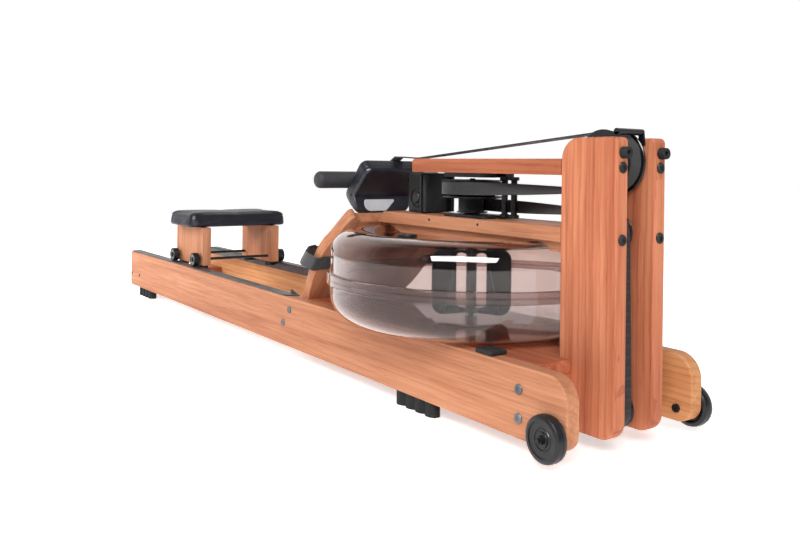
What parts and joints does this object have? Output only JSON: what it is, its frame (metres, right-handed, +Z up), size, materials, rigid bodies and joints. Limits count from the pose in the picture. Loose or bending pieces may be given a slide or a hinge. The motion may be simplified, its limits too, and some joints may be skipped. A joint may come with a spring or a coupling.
{
  "type": "water rowing machine",
  "caption": "Wooden rowing machine with a sliding seat on two rails, a footboard, a round water tank with a paddle, and a strap drive over a pulley to a handle.",
  "frame": {"origin": "On the floor, in the middle of the whole machine's length and width.", "axes": "+X along the rails towards the pulley end, +Y to the left of a rower who faces the tank, +Z up."},
  "size_m": [2.113, 0.576, 0.52],
  "materials": {
    "rail_wood": "oiled light cherry with a satin sheen, straight grain along each board",
    "upright_wood": "oiled cherry, redder than the rails, grain upright",
    "inner_wood": "oiled wood in shade",
    "black_rubber": "matt black moulded rubber",
    "smoked_tank": "clear smoked polycarbonate, polished",
    "black_plastic": "black moulded plastic, satin",
    "monitor_plastic": "black moulded casing, fine texture",
    "screen_glass": "clear window over a grey-green display",
    "black_steel": "black coated steel",
    "strap_webbing": "dark woven webbing with ribbed edges",
    "grip_foam": "dark grey foam grip",
    "pad_cover": "black vinyl cover over foam, soft sheen",
    "axle_steel": "plain steel",
    "wheel_tread": "hard black wheel, glossy"
  },
  "bodies": {
    "frame": {"rail_right": "rail_wood", "rail_left": "rail_wood", "rear_foot_right": "black_rubber", "rear_foot_left": "black_rubber", "middle_foot_right": "black_rubber", "middle_foot_left": "black_rubber", "rear_spacer": "inner_wood", "tank_base_board": "inner_wood", "front_spacer_right": "inner_wood", "front_spacer_left": "inner_wood", "front_spacer_middle": "inner_wood", "upright_right": "upright_wood", "upright_left": "upright_wood", "storage_bumper_right": "black_rubber", "storage_bumper_left": "black_rubber", "top_bar": "rail_wood", "deck_board": "rail_wood", "deck_brace": "inner_wood", "tank_lower": "smoked_tank", "tank_upper": "smoked_tank", "strap_guard": "black_plastic", "drive_strap": "strap_webbing", "recoil_belt": "strap_webbing", "bungee_cord": "black_rubber", "return_bracket": "black_steel", "drive_bracket": "black_steel", "footboard": "rail_wood", "foot_strap_right": "strap_webbing", "foot_strap_left": "strap_webbing", "monitor_back": "monitor_plastic", "monitor_front": "monitor_plastic", "monitor_screen": "screen_glass", "track_right": "black_plastic", "track_left": "black_plastic", "transport_axle_right": "black_steel", "transport_axle_left": "black_steel"},
    "paddle": {"paddle": "black_plastic"},
    "clutch_drum": {"clutch_drum": "black_plastic"},
    "top_pulley": {"top_pulley": "black_plastic"},
    "recoil_pulley_upper": {"recoil_pulley_upper": "black_plastic"},
    "recoil_pulley_lower": {"recoil_pulley_lower": "black_plastic"},
    "return_pulley": {"return_pulley": "black_plastic"},
    "heel_rest_right": {"heel_rest_right": "black_plastic"},
    "heel_rest_left": {"heel_rest_left": "black_plastic"},
    "monitor_button_1": {"monitor_button_1": "black_rubber"},
    "monitor_button_2": {"monitor_button_2": "black_rubber"},
    "fill_plug": {"fill_plug": "black_plastic"},
    "handle": {"handle": "grip_foam", "handle_strap": "strap_webbing"},
    "seat": {"seat_block_right": "rail_wood", "seat_block_left": "rail_wood", "seat_pad": "pad_cover", "seat_axle_rear": "axle_steel", "seat_axle_front": "axle_steel"},
    "seat_wheel_rear_right": {"seat_wheel_rear_right": "wheel_tread"},
    "seat_wheel_rear_left": {"seat_wheel_rear_left": "wheel_tread"},
    "seat_wheel_front_right": {"seat_wheel_front_right": "wheel_tread"},
    "seat_wheel_front_left": {"seat_wheel_front_left": "wheel_tread"},
    "transport_wheel_right": {"transport_wheel_right": "wheel_tread"},
    "transport_wheel_left": {"transport_wheel_left": "wheel_tread"}
  },
  "joints": [
    {"name": "seat_slide", "type": "slide", "parent": "frame", "child": "seat", "axis": [1, 0, 0], "range_m": [-0.3, 0.58]},
    {"name": "seat_wheel_rear_right_spin", "type": "hinge", "parent": "seat", "child": "seat_wheel_rear_right", "pos_m": [-0.6738, -0.141, 0.1659], "axis": [0, 1, 0], "range_deg": [-870, 1670]},
    {"name": "seat_wheel_rear_left_spin", "type": "hinge", "parent": "seat", "child": "seat_wheel_rear_left", "pos_m": [-0.6738, 0.141, 0.1659], "axis": [0, 1, 0], "range_deg": [-870, 1670]},
    {"name": "seat_wheel_front_right_spin", "type": "hinge", "parent": "seat", "child": "seat_wheel_front_right", "pos_m": [-0.5018, -0.141, 0.1659], "axis": [0, 1, 0], "range_deg": [-870, 1670]},
    {"name": "seat_wheel_front_left_spin", "type": "hinge", "parent": "seat", "child": "seat_wheel_front_left", "pos_m": [-0.5018, 0.141, 0.1659], "axis": [0, 1, 0], "range_deg": [-870, 1670]},
    {"name": "handle_pull", "type": "slide", "parent": "frame", "child": "handle", "axis": [-1, 0, 0], "range_m": [0, 1]},
    {"name": "top_pulley_spin", "type": "hinge", "parent": "frame", "child": "top_pulley", "pos_m": [0.9805, 0, 0.4665], "axis": [0, 1, 0], "range_deg": [-1170, 10]},
    {"name": "clutch_drum_spin", "type": "hinge", "parent": "frame", "child": "clutch_drum", "pos_m": [0.6255, 0, 0.397], "axis": [0, 0, 1], "range_deg": [-10, 1270]},
    {"name": "recoil_pulley_upper_spin", "type": "hinge", "parent": "frame", "child": "recoil_pulley_upper", "pos_m": [0.9805, 0, 0.35045], "axis": [0, 1, 0], "range_deg": [-1140, 10]},
    {"name": "recoil_pulley_lower_spin", "type": "hinge", "parent": "frame", "child": "recoil_pulley_lower", "pos_m": [0.9875, 0, 0.061], "axis": [0, 1, 0], "range_deg": [-1140, 10]},
    {"name": "return_pulley_spin", "type": "hinge", "parent": "frame", "child": "return_pulley", "pos_m": [0.2435, 0, 0.05495], "axis": [0, 1, 0], "range_deg": [-1205, 10]},
    {"name": "paddle_spin", "type": "hinge", "parent": "frame", "child": "paddle", "pos_m": [0.6255, 0, 0.225], "axis": [0, 0, 1], "continuous": true},
    {"name": "fill_plug_lift", "type": "slide", "parent": "frame", "child": "fill_plug", "axis": [0, 0, 1], "range_m": [0, 0.03]},
    {"name": "monitor_button_1_press", "type": "slide", "parent": "frame", "child": "monitor_button_1", "axis": [0.7385, 0, -0.6743], "range_m": [0, 0.0012], "stiffness_N_per_m": 300},
    {"name": "monitor_button_2_press", "type": "slide", "parent": "frame", "child": "monitor_button_2", "axis": [0.7385, 0, -0.6743], "range_m": [0, 0.0012], "stiffness_N_per_m": 300},
    {"name": "heel_rest_right_slide", "type": "slide", "parent": "frame", "child": "heel_rest_right", "axis": [0.6743, 0, 0.7385], "range_m": [0, 0.04]},
    {"name": "heel_rest_left_slide", "type": "slide", "parent": "frame", "child": "heel_rest_left", "axis": [0.6743, 0, 0.7385], "range_m": [0, 0.04]},
    {"name": "transport_wheel_right_spin", "type": "hinge", "parent": "frame", "child": "transport_wheel_right", "pos_m": [1.0135, -0.174, 0.049], "axis": [0, 1, 0], "continuous": true},
    {"name": "transport_wheel_left_spin", "type": "hinge", "parent": "frame", "child": "transport_wheel_left", "pos_m": [1.0135, 0.174, 0.049], "axis": [0, 1, 0], "continuous": true}
  ],
  "couplings": [
    {"joint": "seat_wheel_rear_right_spin", "follows": "seat_slide", "rad_per_m": 50},
    {"joint": "seat_wheel_rear_left_spin", "follows": "seat_slide", "rad_per_m": 50},
    {"joint": "seat_wheel_front_right_spin", "follows": "seat_slide", "rad_per_m": 50},
    {"joint": "seat_wheel_front_left_spin", "follows": "seat_slide", "rad_per_m": 50},
    {"joint": "top_pulley_spin", "follows": "handle_pull", "rad_per_m": -20.182},
    {"joint": "clutch_drum_spin", "follows": "handle_pull", "rad_per_m": 21.954},
    {"joint": "recoil_pulley_upper_spin", "follows": "handle_pull", "rad_per_m": -19.725},
    {"joint": "recoil_pulley_lower_spin", "follows": "handle_pull", "rad_per_m": -19.725},
    {"joint": "return_pulley_spin", "follows": "handle_pull", "rad_per_m": -20.835}
  ]
}
